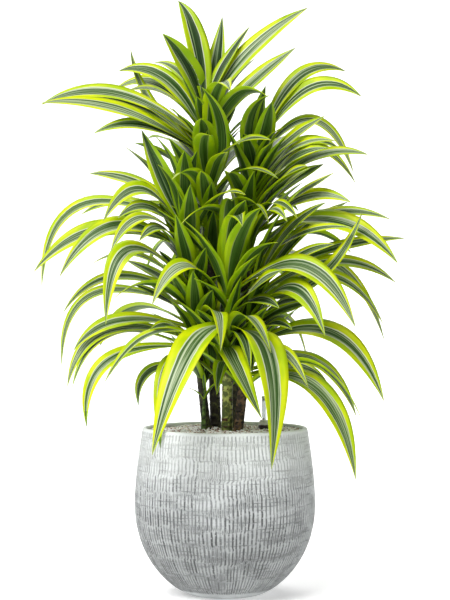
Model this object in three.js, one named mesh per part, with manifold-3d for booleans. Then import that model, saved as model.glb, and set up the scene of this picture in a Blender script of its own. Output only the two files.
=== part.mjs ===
// A potted dracaena: six leafy canes of a striped, lime-edged variety in a ribbed round planter.
// Millimetres, +Z up, origin at the centre of the pot's flat foot, front of the plant towards -Y.
import * as THREE from "three";
import { mergeVertices } from "three/addons/utils/BufferGeometryUtils.js";
import Module from "manifold-3d";

const wasm = await Module();
wasm.setup();
const { Manifold, Mesh } = wasm;

// ---- driving dimensions -------------------------------------------------------------------
const CLEARANCE = 0.3;            // between neighbouring pieces
const FUSE_TOLERANCE = 0.02;      // edges shorter than this are closed up where leaves are fused

const POT_HEIGHT = 320;
const POT_FOOT_RADIUS = 66;
const POT_BELLY_RADIUS = 174;
const POT_BELLY_HEIGHT = 178;     // where the pot is widest
const POT_RIM_RADIUS = 158.5;
const POT_WALL = 10.5;
const POT_FLOOR = 16;             // thickness of the pot's bottom
const POT_LIP = 4.5;              // radius of the rounded lip
const POT_RIBS = 40;              // upright ribs round the pot, drawn larger than life
const POT_RIB_DEPTH = 1.4;
const POT_RIB_BAND = [14, 306];   // the ribs stop short of the foot and of the lip

const FILL_TOP = 312;             // mean height of the granulate's surface
const FILL_RELIEF = 3;            // how far its grains stand up and down
const FILL_RINGS = 6;
const FILL_SEGMENTS = 32;
const SOCKET_BOTTOM = 190;        // the canes' blind holes end here
const SOCKET_FLOOR = 2;           // room under a cane's foot
const SOCKET_SPARE = 0.6;         // because a hole's flat facets lie inside its circle

const CANE_SIDES = 8;
const CANE_SCAR_PITCH = 24;       // leaf scars on the bare stretch of a cane
const CANE_SCAR_HEIGHT = 0.8;
const CANE_BARE_TOP = 448;
const CANE_CROWN = 70;            // the cane narrows over this height to its growing tip
const CANE_TAPER = 0.25;          // thinner at the top by this much of its radius
const CANE_TIP = 0.4;             // tip radius over foot radius
const CANE_POINT = 4;             // height of the blunt point above the top

const LEAF_LEAN = 0.6;            // how far out along its reach a level leaf carries its arch
const LEAF_RISE = 0.25;           // nearer the cane by this much if it rises as far as it reaches
const LEAF_LEAN_RANGE = [0.15, 1.1];
const LEAF_LIFT = 0.42;           // the arch is measured from this share of the way up to the tip
const LEAF_FOLD = 0.25;           // the blade's shallow V: edge rise over half width
const LEAF_THICK = 2.0;           // at the midrib, thinning to the edges
const LEAF_BROAD = 0.45;          // where along its length a leaf is widest
const LEAF_ROOT = 0.26;           // width at the root over full width
const LEAF_HEEL = 0.6;            // a leaf starts behind the cane's axis by this much of its radius
const LEAF_STATIONS = [0.2, 0.46, 0.76];
const LEAF_NARROW = 27;           // a leaf narrower than this has the fewer stations below
const SMALL_STATIONS = [0.3, 0.65];
const LEAF_SHORT = 100;           // and so has a leaf that reaches out less than this
const WREATH_TURN = 137.5;        // degrees from one leaf placed by rule to the next
const LEAF_FREE = [0.1, 0.26];    // beyond this much of its length no leaf meets another; or else this
const LEAF_SPARE = 0.7;           // room kept all round a blade
// A leaf that would cross another is turned and lifted by the first of these that clears it
// (degrees of turn, millimetres of arch).
const BENDS = [[0, 0], [3, 0], [-3, 0], [0, 8], [0, -8], [6, 0], [-6, 0], [4, 10], [-4, 10],
  [4, -10], [-4, -10], [9, 0], [-9, 0], [0, 18], [0, -18], [8, 16], [-8, 16], [8, -16],
  [-8, -16], [13, 0], [-13, 0], [13, 20], [-13, 20]];

const GAUGE_PLACE = [76, 43];
const GAUGE_FOOT = 44;            // underside of the sleeve
const GAUGE_SLEEVE_RADIUS = 8;
const GAUGE_COLLAR_RADIUS = 11;
const GAUGE_COLLAR_HEIGHT = 6;
const GAUGE_DOME_TOP = 331;
const GAUGE_TUBE_RADIUS = 4.3;
const GAUGE_TUBE_BORE = 3.3;
const GAUGE_TUBE_TOP = 372;
const GAUGE_GUIDE_BORE = 2.2;
const GAUGE_ROD_RADIUS = 1.5;
const GAUGE_FLOAT_RADIUS = 5.6;
const GAUGE_FLOAT_HEIGHT = 46;
const GAUGE_ROD_TOP = 335;

// ---- the canes and their leaves -------------------------------------------------------------
// foot: where the cane stands (x, y).  top: where it ends (x, y, z).
// leaves: root height, direction (degrees from +X), reach, tip height, arch, width, roll
// (degrees), sideways sway and, for a few, how much farther out the arch lies: one row for
// each leaf that shows from the front.  droop: how much farther out a drooping leaf arches.
// wreath and heart: the leaves placed by rule, all round the cane, the outer and the inner ones.
const CANES = [
  {
    name: "cane_tall", foot: [-18, 62], top: [-39, 17, 932], radius: 11, droop: 0.3,
    wreath: { count: 22, start: 30, crown: 875, depth: 265 },
    heart: { count: 16, start: 200, crown: 860, depth: 240 },
    leaves: [
      [890, -150, 95, 1075, 40, 60, 100, 0], [915, 145, 75, 1155, 85, 46, 40, 0],
      [895, 60, 65, 1125, 0, 48, 0, 0, 0.9], [855, 165, 155, 1060, -15, 28, 40, 0, 0.6],
      [925, 25, 90, 1100, 0, 32, -45, 0], [920, 5, 200, 1135, 50, 44, -75, 0],
      [890, -10, 175, 1050, 15, 46, -70, 0], [855, -75, 180, 950, 130, 46, -20, 0],
      [850, -50, 160, 945, 130, 44, 20, 0], [770, -95, 110, 965, 45, 34, 10, 60],
      [785, -95, 120, 905, 60, 50, 0, 0], [830, 20, 60, 940, 10, 36, -60, 0],
      [830, -150, 135, 935, 25, 32, 50, 0], [855, -130, 110, 930, 20, 28, 35, 0],
      [865, 180, 320, 945, 125, 38, 75, 0], [845, -170, 320, 940, 80, 36, 70, 0],
      [840, 170, 240, 960, 90, 38, 75, 0], [835, -160, 220, 885, 100, 34, 65, 0],
      [885, 155, 215, 980, 125, 32, 65, 0], [875, 165, 175, 1015, 110, 42, 70, 0],
      [910, 145, 140, 1040, 55, 28, 40, 0], [875, -145, 175, 960, 80, 30, 45, 0],
      [815, -45, 170, 865, 55, 28, -45, 0],
      [760, -75, 145, 840, 55, 38, -15, 0], [710, -95, 145, 805, 45, 38, 10, 0],
      [895, -95, 80, 950, 15, 26, 0, 0],
    ],
  },
  {
    name: "cane_right", foot: [12, 52], top: [65, 29, 862], radius: 10, droop: 0.3,
    wreath: { count: 20, start: 10, crown: 825, depth: 270 },
    heart: { count: 16, start: 250, crown: 800, depth: 250 },
    leaves: [
      [855, 10, 175, 1015, 135, 36, -70, 0], [855, -5, 200, 960, 150, 42, -75, 0],
      [835, 5, 190, 815, 180, 32, -65, 0], [805, -30, 150, 915, 25, 42, -65, 0],
      [770, -60, 130, 880, 25, 30, -30, 0], [805, -75, 145, 865, 35, 28, -45, 0],
      [775, -55, 30, 980, 30, 46, 0, 0], [795, -85, 90, 955, 75, 38, -20, -40],
      [640, -15, 280, 720, 100, 30, -65, 0], [690, -20, 300, 635, 105, 46, -70, 0],
      [615, -35, 240, 700, 70, 28, -60, 0], [585, -5, 310, 685, 60, 30, -70, 0],
      [670, -30, 220, 750, 100, 40, -65, 0], [710, -55, 180, 815, 55, 44, -50, 0],
      [690, -45, 160, 815, 35, 42, -40, 0], [730, -40, 185, 850, 80, 40, -60, 0],
      [750, -20, 225, 845, 105, 34, -65, 0], [775, 5, 170, 860, 110, 30, -65, 0],
      [760, -5, 200, 795, 155, 30, -65, 0], [730, 0, 140, 830, 25, 38, -65, 0],
      [750, -60, 110, 890, 80, 30, -30, 0], [770, -35, 185, 865, 80, 30, -60, 0],
      [660, -70, 200, 710, 100, 28, -40, 0], [700, -35, 190, 805, 30, 36, -50, 0],
      [600, 0, 285, 485, 160, 34, -65, 0], [735, -130, 75, 890, 10, 42, 20, 0],
    ],
  },
  {
    name: "cane_left", foot: [-36, 46], top: [-83, 3, 755], radius: 9, droop: 0.85,
    wreath: { count: 18, start: 20, crown: 705, depth: 245 },
    heart: { count: 16, start: 300, crown: 700, depth: 230 },
    leaves: [
      [700, 175, 85, 895, 0, 44, 95, 0, 0.4], [750, -135, 75, 880, 30, 34, 30, 0],
      [730, 165, 200, 815, 50, 32, 60, 0], [680, -150, 170, 715, 160, 42, 60, 0],
      [710, 175, 280, 590, 185, 34, 65, 0], [700, 160, 220, 735, 80, 28, 65, 0],
      [660, -175, 295, 620, 120, 44, 75, 0, -0.1], [650, -160, 255, 610, 150, 42, 70, 0, -0.1],
      [670, -135, 195, 655, 115, 34, 45, 0], [660, -150, 150, 720, 85, 36, 60, 0],
      [640, -125, 155, 675, 95, 36, 40, 0], [585, -140, 205, 520, 210, 46, 55, 0, 0.1],
      [565, 170, 260, 540, 115, 28, 65, 0], [545, 175, 260, 435, 165, 28, 65, 0, 0.05],
      [565, 145, 165, 645, 20, 28, 40, 0], [505, -165, 240, 470, 75, 36, 65, 0],
      [480, -160, 255, 400, 130, 34, 65, 0], [470, -155, 230, 325, 95, 34, 60, 0],
      [430, -175, 120, 360, 60, 32, 50, 0], [565, -135, 110, 715, 55, 38, 30, 0],
      [565, -115, 65, 775, 40, 38, 10, 0], [670, -120, 105, 820, 35, 38, 25, 0],
      [625, -85, 125, 780, 25, 42, -10, 0], [595, -105, 135, 725, 20, 42, 20, 0],
      [690, -90, 100, 845, 45, 40, -10, 0], [545, -125, 140, 650, 20, 38, 40, 0],
      [525, -115, 135, 635, 15, 38, 25, 0], [525, -145, 140, 595, 15, 34, 50, 0],
      [495, -95, 130, 620, 20, 38, 10, 0], [660, -65, 180, 760, 75, 34, -25, 0],
      [480, -125, 150, 510, 40, 34, 40, 0], [470, -120, 105, 565, 25, 34, 20, 0],
      [450, -115, 165, 290, 115, 42, 20, 0],
    ],
  },
  {
    name: "cane_front", foot: [4, 6], top: [6, -26, 600], radius: 11, droop: 0.3,
    wreath: { count: 10, start: 50, crown: 585, depth: 130 },
    heart: { count: 14, start: 250, crown: 590, depth: 150 },
    leaves: [
      [510, -120, 270, 290, 130, 68, 10, 50], [500, -72, 250, 265, 150, 68, 10, 40],
      [465, -70, 180, 350, 95, 54, 10, -70], [490, -85, 135, 435, 70, 30, 0, 0],
      [535, -140, 195, 555, 160, 42, 45, 0], [565, -30, 270, 515, 175, 50, -65, 0],
      [515, -50, 165, 620, 40, 52, -60, 0], [565, -80, 150, 700, 160, 46, -20, 0],
      [585, -85, 85, 750, 130, 38, 0, 0], [565, -65, 145, 735, 85, 50, -10, 0],
      [555, -130, 130, 715, 40, 40, 25, 0], [560, -60, 110, 650, 20, 38, -25, 0],
      [565, -65, 110, 750, 55, 56, 0, 0], [540, -125, 110, 605, 35, 38, 25, 0],
      [525, -45, 135, 550, 55, 40, -40, 0], [440, -100, 115, 390, 50, 30, 0, 0],
    ],
  },
  {
    name: "cane_low", foot: [25, -12], top: [58, -7, 596], radius: 10, droop: 0.3,
    wreath: { count: 14, start: 0, crown: 545, depth: 155 },
    heart: { count: 14, start: 220, crown: 580, depth: 150 },
    leaves: [
      [565, -15, 215, 730, -70, 42, -65, 0, 0.3], [565, 5, 280, 600, 115, 36, -65, 0],
      [545, 10, 260, 520, 160, 34, -65, 0],
      [525, -35, 200, 500, 130, 48, -60, 0], [470, -15, 265, 375, 155, 52, -65, 0],
      [440, 5, 215, 340, 105, 34, -65, 0], [425, -10, 160, 410, 55, 32, -60, 0],
      [415, -30, 230, 230, 140, 52, -50, 0], [480, 30, 140, 425, 150, 44, -40, 0],
      [565, -20, 145, 750, 60, 40, -60, 0], [550, 0, 185, 755, 60, 34, -60, 0],
      [585, -40, 125, 780, 50, 40, -40, 0],
      [565, -30, 175, 670, 50, 38, -60, 0], [495, -40, 125, 565, 45, 38, -45, 0],
      [480, -45, 115, 510, 50, 36, -35, 0], [450, -85, 110, 430, 60, 28, -10, 0],
      [505, -15, 120, 560, 25, 42, -50, 0],
    ],
  },
  {
    name: "side_shoot", foot: [-42, 25], top: [-40, 22, 395], radius: 5, droop: 0.3,
    wreath: { count: 0, start: 0, crown: 395, depth: 0 },
    heart: { count: 0, start: 0, crown: 395, depth: 0 },
    leaves: [
      [385, -140, 5, 435, 0, 12, 0, 0], [370, -150, 35, 395, 10, 10, 10, 0],
      [370, -50, 45, 410, 10, 10, -10, 0],
    ],
  },
];

// ---- helpers ----------------------------------------------------------------------------------
const radians = THREE.MathUtils.degToRad;

function toManifold(geometry) {
  // a closed geometry as a solid with shared vertices
  const bare = geometry.index ? geometry.toNonIndexed() : geometry.clone();
  bare.deleteAttribute("normal");
  bare.deleteAttribute("uv");
  const merged = mergeVertices(bare, 1e-4);
  return new Manifold(new Mesh({
    numProp: 3,
    vertProperties: new Float32Array(merged.attributes.position.array),
    triVerts: new Uint32Array(merged.index.array),
  }));
}

function toGeometry(solid) {
  const mesh = solid.getMesh();
  const geometry = new THREE.BufferGeometry();
  geometry.setAttribute("position", new THREE.BufferAttribute(new Float32Array(mesh.vertProperties), 3));
  geometry.setIndex(new THREE.BufferAttribute(new Uint32Array(mesh.triVerts), 1));
  geometry.computeVertexNormals();
  return geometry;
}

function outerBody(solid) {
  // the largest body alone: hollows that fusing sealed are filled and loose scraps dropped
  return solid.decompose().reduce((best, other) => (other.volume() > best.volume() ? other : best));
}

function turned(profile, segments) {
  // a solid turned about +Z from [radius, height] pairs, listed from the bottom up
  const geometry = new THREE.LatheGeometry(profile.map(([r, z]) => new THREE.Vector2(r, z)), segments);
  return geometry.rotateX(Math.PI / 2);
}

function rod(radius, bottom, top, segments = 16) {
  return turned([[0, bottom], [radius, bottom], [radius, top], [0, top]], segments);
}

function piece(name, geometry, colour, roughness) {
  const material = new THREE.MeshStandardMaterial({ color: colour, roughness, metalness: 0 });
  const mesh = new THREE.Mesh(geometry, material);
  mesh.name = name;
  return mesh;
}

// ---- the planter --------------------------------------------------------------------------------
function potRadius(z) {
  // the pot's outer radius: a full round belly on a small foot, drawn in a little at the rim
  if (z < POT_BELLY_HEIGHT) {
    const down = (POT_BELLY_HEIGHT - z) / POT_BELLY_HEIGHT;
    return POT_FOOT_RADIUS + (POT_BELLY_RADIUS - POT_FOOT_RADIUS) * (1 - down ** 2.2) ** 0.7;
  }
  const up = (z - POT_BELLY_HEIGHT) / (POT_HEIGHT - POT_BELLY_HEIGHT);
  return POT_BELLY_RADIUS - (POT_BELLY_RADIUS - POT_RIM_RADIUS) * up ** 1.6;
}

function wallInside(z) {
  return potRadius(z) - POT_WALL;
}

function lipArc() {
  // the rounded lip, from outside to inside
  const middle = POT_HEIGHT - POT_LIP;
  const points = [];
  for (const degrees of [0, 45, 90]) {
    const a = radians(degrees);
    points.push([potRadius(middle) - POT_LIP * (1 - Math.cos(a)), middle + POT_LIP * Math.sin(a)]);
  }
  return points;
}

function buildPlanter() {
  const heights = [3, POT_RIB_BAND[0], 40, 85, 150, 235, POT_RIB_BAND[1]];
  const outline = [[0, 0], [POT_FOOT_RADIUS, 0], ...heights.map((z) => [potRadius(z), z]), ...lipArc(),
    [0, POT_HEIGHT]];
  const body = turned(outline, 2 * POT_RIBS);
  const position = body.attributes.position;
  const columns = outline.length;
  for (let i = 0; i < position.count; i += 1) {
    const groove = Math.floor(i / columns) % 2 === 1;
    const z = position.getZ(i);
    if (groove && z > POT_RIB_BAND[0] + 1 && z < POT_RIB_BAND[1] - 1) {
      const shrink = 1 - POT_RIB_DEPTH / potRadius(z);
      position.setXY(i, position.getX(i) * shrink, position.getY(i) * shrink);
    }
  }
  const inside = [POT_FLOOR, 40, 80, 130, 200, 275, POT_HEIGHT - POT_LIP];
  const cavity = [[0, POT_FLOOR], ...inside.map((z) => [wallInside(z), z]),
    [wallInside(POT_HEIGHT) + 2, POT_HEIGHT + 4], [0, POT_HEIGHT + 4]];
  return toManifold(body).subtract(toManifold(turned(cavity, 36)));
}

// ---- the granulate --------------------------------------------------------------------------------
function grain(i, j) {
  // a repeatable height between -1 and 1 for one point of the surface
  const wave = Math.sin(i * 12.9898 + j * 78.233) * 43758.5453;
  return 2 * (wave - Math.floor(wave)) - 1;
}

function buildGranulate(sockets) {
  const gap = CLEARANCE + 0.4;      // the cavity's flat facets lie a little inside its circle
  const side = [POT_FLOOR + CLEARANCE, 40, 80, 130, 200, 275];
  const outline = [[0, side[0]], ...side.map((z) => [wallInside(z) - gap - 0.6, z])];
  const edge = wallInside(FILL_TOP) - gap - 0.6;
  for (let ring = FILL_RINGS; ring >= 0; ring -= 1) {
    outline.push([edge * ring / FILL_RINGS, FILL_TOP]);
  }
  const body = turned(outline, FILL_SEGMENTS);
  const position = body.attributes.position;
  for (let i = 0; i < position.count; i += 1) {
    if (position.getZ(i) > FILL_TOP - 1) {
      const ring = Math.round(Math.hypot(position.getX(i), position.getY(i)) / edge * FILL_RINGS);
      const turn = Math.round(Math.atan2(position.getY(i), position.getX(i)) / (2 * Math.PI) * FILL_SEGMENTS);
      const column = ring === 0 ? 0 : (turn + FILL_SEGMENTS) % FILL_SEGMENTS;
      position.setZ(i, FILL_TOP + FILL_RELIEF * grain(ring, column) - 1);
    }
  }
  let fill = toManifold(body);
  for (const socket of sockets) {
    fill = fill.subtract(socket);
  }
  return fill;
}

// ---- canes -------------------------------------------------------------------------------------------
function canePlace(cane, z) {
  const k = Math.max(0, (z - FILL_TOP) / (cane.top[2] - FILL_TOP));
  return [cane.foot[0] + (cane.top[0] - cane.foot[0]) * k, cane.foot[1] + (cane.top[1] - cane.foot[1]) * k];
}

function lean(geometry, cane) {
  // shifts an upright turned shape sideways so that it follows the cane's line
  const position = geometry.attributes.position;
  for (let i = 0; i < position.count; i += 1) {
    const [x, y] = canePlace(cane, position.getZ(i));
    position.setXY(i, position.getX(i) + x, position.getY(i) + y);
  }
  return geometry;
}

function taper(cane, z) {
  // how much of the foot's radius is left at a height below the crown
  return 1 - CANE_TAPER * Math.max(0, (z - FILL_TOP) / (cane.top[2] - FILL_TOP));
}

function caneRadius(cane, z) {
  // the cane thins slowly upwards and then over its crown to the tip
  const up = Math.max(0, (z - cane.top[2] + CANE_CROWN) / CANE_CROWN);
  return cane.radius * (taper(cane, z) * (1 - up) + CANE_TIP * up);
}

function caneProfile(cane) {
  const r = cane.radius;
  const foot = SOCKET_BOTTOM + SOCKET_FLOOR;
  const profile = [[0, foot], [r, foot], [r, FILL_TOP]];
  const crown = cane.top[2] - CANE_CROWN;
  const bareTop = Math.min(CANE_BARE_TOP, crown - 12);
  for (let z = FILL_TOP + 6; z < bareTop; z += CANE_SCAR_PITCH) {
    const here = r * taper(cane, z);
    profile.push([here, z], [here + CANE_SCAR_HEIGHT, z + CANE_SCAR_PITCH * 0.45]);
  }
  profile.push([r * taper(cane, bareTop), bareTop + 4], [r * taper(cane, crown), crown],
    [r * CANE_TIP, cane.top[2]], [0, cane.top[2] + CANE_POINT]);
  return profile;
}

function socketFor(cane) {
  const r = cane.radius + CLEARANCE + SOCKET_SPARE;
  const profile = [[0, SOCKET_BOTTOM], [r, SOCKET_BOTTOM], [r, FILL_TOP], [r, POT_HEIGHT], [0, POT_HEIGHT]];
  const hole = turned(profile, 12);
  return toManifold(lean(hole, cane));
}

// ---- leaves -------------------------------------------------------------------------------------------
function halfWidth(width, v) {
  if (v < LEAF_BROAD) {
    return width / 2 * (LEAF_ROOT + (1 - LEAF_ROOT) * Math.sin(Math.PI / 2 * v / LEAF_BROAD) ** 1.3);
  }
  return width / 2 * (1 - ((v - LEAF_BROAD) / (1 - LEAF_BROAD)) ** 1.9);
}

function leafCurve(cane, leaf, bend) {
  // the midrib: a curve that leaves the cane's axis, arches and ends at the tip
  const [rootHeight, direction, reach, tipHeight, arch, , , sway, bow = 0] = leaf;
  const a = radians(direction + bend[0]);
  const out = new THREE.Vector3(Math.cos(a), Math.sin(a), 0);
  const across = new THREE.Vector3(-Math.sin(a), Math.cos(a), 0);
  const rise = tipHeight - rootHeight;
  const root = new THREE.Vector3(...canePlace(cane, rootHeight), rootHeight);
  const fall = -rise / reach;
  const steer = LEAF_LEAN + bow + (fall > 0 ? cane.droop : LEAF_RISE) * fall;
  const lean = THREE.MathUtils.clamp(steer, ...LEAF_LEAN_RANGE);
  const control = root.clone().addScaledVector(out, reach * lean).addScaledVector(across, sway);
  control.z += rise * LEAF_LIFT + arch + bend[1];
  const tip = root.clone().addScaledVector(out, reach);
  tip.z += rise;
  return { curve: new THREE.QuadraticBezierCurve3(root, control, tip), across };
}

function leafSection(shape, leaf, v, spare) {
  // left edge, midrib above, right edge and midrib below
  const middle = shape.curve.getPoint(v);
  const along = shape.curve.getTangent(v);
  const up = along.clone().cross(shape.across).normalize();
  const side = up.clone().cross(along);
  const roll = radians(leaf[6]) * (0.35 + 0.65 * v);
  const across = side.clone().multiplyScalar(Math.cos(roll)).addScaledVector(up, -Math.sin(roll));
  const face = up.multiplyScalar(Math.cos(roll)).addScaledVector(side, Math.sin(roll));
  const half = halfWidth(leaf[5], v);
  const thick = LEAF_THICK / 2 * (1 - 0.4 * v) + spare;
  const edge = half * LEAF_FOLD;
  return [
    middle.clone().addScaledVector(across, -half - spare).addScaledVector(face, edge),
    middle.clone().addScaledVector(face, thick),
    middle.clone().addScaledVector(across, half + spare).addScaledVector(face, edge),
    middle.clone().addScaledVector(face, -thick),
  ];
}

function leafSolid(cane, leaf, bend, from = 0, spare = 0) {
  // sections joined into one closed blade, split into triangles alike on both faces; a whole
  // leaf starts at a point inside the cane, and a part of one is cut off flat
  const shape = leafCurve(cane, leaf, bend);
  const small = leaf[5] < LEAF_NARROW || leaf[2] < LEAF_SHORT;
  const after = (small ? SMALL_STATIONS : LEAF_STATIONS).filter((v) => v > from);
  const stations = from > 0 ? [from, ...after] : after;
  const points = stations.flatMap((v) => leafSection(shape, leaf, v, spare));
  points.push(shape.curve.getPoint(1));
  const last = points.length - 1;
  const faces = [];
  if (from > 0) {
    faces.push([0, 1, 2], [0, 2, 3]);
  } else {
    const back = LEAF_HEEL * caneRadius(cane, leaf[0]);
    points.push(shape.curve.getPoint(0).addScaledVector(shape.curve.getTangent(0), -back));
    const heel = points.length - 1;
    faces.push([0, 1, heel], [1, 2, heel], [2, 3, heel], [3, 0, heel]);
  }
  for (let s = 0; s < stations.length - 1; s += 1) {
    for (const [a, b] of [[0, 1], [1, 2], [2, 3], [3, 0]]) {
      const [p, q, r, t] = [4 * s + a, 4 * s + b, 4 * s + 4 + b, 4 * s + 4 + a];
      // the diagonal runs from the edge to the next midrib point on the upper and the lower face
      if (a === 0 || a === 2) {
        faces.push([p, r, q], [p, t, r]);
      } else {
        faces.push([p, t, q], [q, t, r]);
      }
    }
  }
  const end = 4 * (stations.length - 1);
  faces.push([end, last, end + 1], [end + 1, last, end + 2], [end + 2, last, end + 3], [end + 3, last, end]);
  return new Manifold(new Mesh({
    numProp: 3,
    vertProperties: new Float32Array(points.flatMap((point) => point.toArray())),
    triVerts: new Uint32Array(faces.flat()),
  }));
}

function wreathLeaves(cane) {
  // the outside of a crown: leaves a steady turn apart, raised at the top and arching below
  const { count, start, crown, depth } = cane.wreath;
  const rows = [];
  for (let k = 0; k < count; k += 1) {
    const down = k / (count - 1);
    const root = crown - depth * down;
    rows.push([root, start + WREATH_TURN * k, 115 + 135 * down + 18 * Math.sin(2.4 * k),
      root + 170 - 220 * down + 20 * Math.sin(1.7 * k), 30 + 110 * down, 38 + 6 * Math.sin(k),
      45 * Math.sin(3.1 * k), 20 * Math.sin(4.3 * k)]);
  }
  return rows;
}

function heartLeaves(cane) {
  // the inside of a crown: steep leaves that fill the room between the others
  const { count, start, crown, depth } = cane.heart;
  const rows = [];
  for (let k = 0; k < count; k += 1) {
    const down = k / (count - 1);
    const root = crown - depth * down;
    rows.push([root, start + WREATH_TURN * k, 55 + 50 * down + 15 * Math.sin(1.9 * k),
      root + 150 - 30 * down + 25 * Math.sin(2.7 * k), 12 + 20 * down, 40 + 5 * Math.sin(k),
      30 * Math.sin(2.2 * k), 12 * Math.sin(3.7 * k)]);
  }
  return rows;
}

function boxesMeet(a, b) {
  return [0, 1, 2].every((axis) => a.min[axis] < b.max[axis] && b.min[axis] < a.max[axis]);
}

function meets(a, b) {
  return boxesMeet(a.box, b.box) && !a.solid.intersect(b.solid).isEmpty();
}

function boxed(solid) {
  return { solid, box: solid.boundingBox() };
}

function growLeaves(obstacles) {
  // leaves are taken in order, the named ones of every cane first, and each keeps clear
  const grown = new Map(CANES.map((cane) => [cane.name, []]));
  const rounds = [CANES.map((cane) => [cane, cane.leaves]), CANES.map((cane) => [cane, wreathLeaves(cane)]),
    CANES.map((cane) => [cane, heartLeaves(cane)])];
  const dropped = [];
  for (const [cane, rows] of rounds.flat()) {
    for (const leaf of rows) {
      const bend = LEAF_FREE.map((free, level) => (
        BENDS.find((turn) => fits(cane, leaf, turn, level, grown, obstacles)))).find(Boolean);
      if (bend) {
        grown.get(cane.name).push({
          whole: boxed(leafSolid(cane, leaf, bend)),
          blades: LEAF_FREE.map((free) => boxed(leafSolid(cane, leaf, bend, free))),
        });
      } else {
        dropped.push({ cane: cane.name, root: leaf[0], direction: leaf[1] });
      }
    }
  }
  return { grown, dropped };
}

function fits(cane, leaf, bend, level, grown, obstacles) {
  const whole = boxed(leafSolid(cane, leaf, bend, 0, LEAF_SPARE));
  const blade = boxed(leafSolid(cane, leaf, bend, LEAF_FREE[level], LEAF_SPARE));
  for (const [name, solid] of obstacles) {
    if (name !== cane.name && meets(whole, solid)) {
      return false;
    }
  }
  for (const [name, others] of grown) {
    const own = name === cane.name;
    if (others.some((other) => (own ? meets(blade, other.blades[level]) : meets(whole, other.whole)))) {
      return false;
    }
  }
  return true;
}

// ---- the water gauge ---------------------------------------------------------------------------------
function buildGauge() {
  const seat = FILL_TOP + FILL_RELIEF;
  const collarTop = seat + GAUGE_COLLAR_HEIGHT;
  const sleeve = [
    [3, GAUGE_FOOT], [GAUGE_SLEEVE_RADIUS, GAUGE_FOOT], [GAUGE_SLEEVE_RADIUS, seat],
    [GAUGE_COLLAR_RADIUS, seat], [GAUGE_COLLAR_RADIUS, collarTop - 1], [GAUGE_COLLAR_RADIUS - 1, collarTop],
    [GAUGE_COLLAR_RADIUS - 2, collarTop + 4], [GAUGE_TUBE_RADIUS + 2.4, GAUGE_DOME_TOP - 1.5],
    [GAUGE_TUBE_RADIUS + CLEARANCE + 0.9, GAUGE_DOME_TOP], [GAUGE_TUBE_RADIUS + CLEARANCE, GAUGE_DOME_TOP],
    [GAUGE_TUBE_RADIUS + CLEARANCE, GAUGE_DOME_TOP - 4], [GAUGE_GUIDE_BORE, GAUGE_DOME_TOP - 4],
    [GAUGE_GUIDE_BORE, collarTop], [GAUGE_SLEEVE_RADIUS - 1.2, collarTop - 4],
    [GAUGE_SLEEVE_RADIUS - 1.2, GAUGE_FOOT + 2], [3, GAUGE_FOOT + 2], [3, GAUGE_FOOT],
  ];
  const tubeFoot = GAUGE_DOME_TOP - 4 + CLEARANCE;
  const tube = [
    [GAUGE_TUBE_BORE, tubeFoot], [GAUGE_TUBE_RADIUS, tubeFoot], [GAUGE_TUBE_RADIUS, GAUGE_TUBE_TOP],
    [GAUGE_TUBE_BORE, GAUGE_TUBE_TOP], [GAUGE_TUBE_BORE, tubeFoot],
  ];
  const capFoot = GAUGE_TUBE_TOP + CLEARANCE;
  const cap = [
    [0, capFoot - 5], [GAUGE_TUBE_BORE - CLEARANCE, capFoot - 5], [GAUGE_TUBE_BORE - CLEARANCE, capFoot],
    [GAUGE_TUBE_RADIUS + 0.4, capFoot], [GAUGE_TUBE_RADIUS + 0.4, capFoot + 3],
    [GAUGE_TUBE_RADIUS - 1, capFoot + 4.5], [0, capFoot + 5],
  ];
  const floatFoot = GAUGE_FOOT + 2 + CLEARANCE;
  const floatTop = floatFoot + GAUGE_FLOAT_HEIGHT;
  const float = [
    [0, floatFoot], [GAUGE_FLOAT_RADIUS - 1, floatFoot], [GAUGE_FLOAT_RADIUS, floatFoot + 2],
    [GAUGE_FLOAT_RADIUS, floatTop - 3], [GAUGE_ROD_RADIUS, floatTop], [GAUGE_ROD_RADIUS, GAUGE_ROD_TOP - 0.5],
    [GAUGE_ROD_RADIUS - 0.5, GAUGE_ROD_TOP], [0, GAUGE_ROD_TOP],
  ];
  const group = new THREE.Group();
  group.position.set(GAUGE_PLACE[0], GAUGE_PLACE[1], 0);
  group.add(piece("gauge_sleeve", turned(sleeve, 12), 0xc9cfcf, 0.35));
  group.add(piece("gauge_tube", turned(tube, 12), 0xdfe6e6, 0.1));
  group.add(piece("gauge_cap", turned(cap, 12), 0xe8ecec, 0.4));
  group.add(piece("gauge_float", turned(float, 12), 0xd8442a, 0.5));
  return group;
}

function gaugeSocket() {
  // the sleeve's hole, with a flat seat under its collar
  const seat = FILL_TOP + FILL_RELIEF - CLEARANCE;
  const hole = turned([[0, GAUGE_FOOT - CLEARANCE], [GAUGE_SLEEVE_RADIUS + 0.5, GAUGE_FOOT - CLEARANCE],
    [GAUGE_SLEEVE_RADIUS + 0.5, seat], [GAUGE_COLLAR_RADIUS + 1, seat], [GAUGE_COLLAR_RADIUS + 1, POT_HEIGHT],
    [0, POT_HEIGHT]], 16);
  return toManifold(hole.translate(GAUGE_PLACE[0], GAUGE_PLACE[1], 0));
}

// ---- assembly -------------------------------------------------------------------------------------------
const plant = new THREE.Group();
const planter = buildPlanter();
const granulate = buildGranulate([...CANES.map(socketFor), gaugeSocket()]);
plant.add(piece("planter", toGeometry(planter), 0xc4c8c8, 0.85));
plant.add(piece("granulate", toGeometry(granulate), 0xb5afa6, 0.95));

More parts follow.
